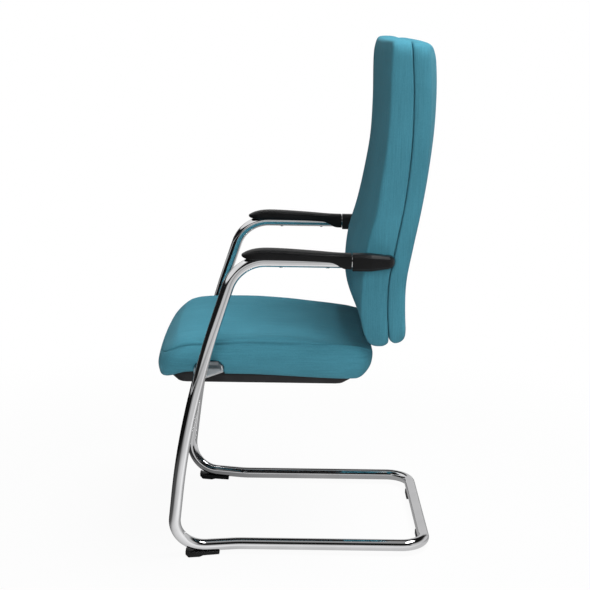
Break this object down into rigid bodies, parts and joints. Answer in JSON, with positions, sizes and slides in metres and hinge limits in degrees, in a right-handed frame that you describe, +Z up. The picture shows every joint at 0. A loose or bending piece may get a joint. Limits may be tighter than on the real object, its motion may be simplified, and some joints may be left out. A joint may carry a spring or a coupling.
{
  "type": "visitor armchair",
  "caption": "Cantilever visitor armchair with a bent chromed tube frame, black arm pads and a teal fabric seat and high backrest.",
  "frame": {"origin": "on the floor, under the middle of the bounding box", "axes": "+Z up; the sitter faces -Y; +X is the sitter's left"},
  "size_m": [0.6202, 0.5969, 1.0895],
  "materials": {
    "chrome": "polished chrome plate",
    "steel": "zinc plated",
    "fabric": "plain woven upholstery cloth, matt",
    "black_plastic": "fine satin moulded texture",
    "plywood": "bare plywood"
  },
  "bodies": {
    "root": {"frame_tube": "chrome", "front_glide_right": "black_plastic", "front_glide_left": "black_plastic", "rear_glide_right": "black_plastic", "rear_glide_left": "black_plastic", "seat_bracket_right": "chrome", "seat_bracket_left": "chrome", "seat_cross_bar": "steel", "seat_bolt_right_1": "steel", "seat_bolt_right_2": "steel", "seat_bolt_left_1": "steel", "seat_bolt_left_2": "steel", "seat_board": "plywood", "seat_cushion": "fabric", "seat_pan": "black_plastic", "pan_screw_right_1": "steel", "pan_screw_right_2": "steel", "pan_screw_left_1": "steel", "pan_screw_left_2": "steel", "back_link_right": "steel", "back_link_left": "steel", "link_seat_bolt_right_1": "steel", "link_seat_bolt_right_2": "steel", "link_seat_bolt_left_1": "steel", "link_seat_bolt_left_2": "steel", "link_back_bolt_right_1": "steel", "link_back_bolt_right_2": "steel", "link_back_bolt_left_1": "steel", "link_back_bolt_left_2": "steel", "back_board": "plywood", "back_front_cushion": "fabric", "back_rear_cushion": "fabric", "arm_bracket_right": "steel", "arm_bracket_left": "steel", "arm_bolt_right_1": "steel", "arm_bolt_right_2": "steel", "arm_bolt_left_1": "steel", "arm_bolt_left_2": "steel", "arm_collar_right": "black_plastic", "arm_collar_left": "black_plastic", "arm_pad_right": "black_plastic", "arm_pad_left": "black_plastic", "pad_screw_right_1": "steel", "pad_screw_right_2": "steel", "pad_screw_left_1": "steel", "pad_screw_left_2": "steel"}
  },
  "joints": []
}
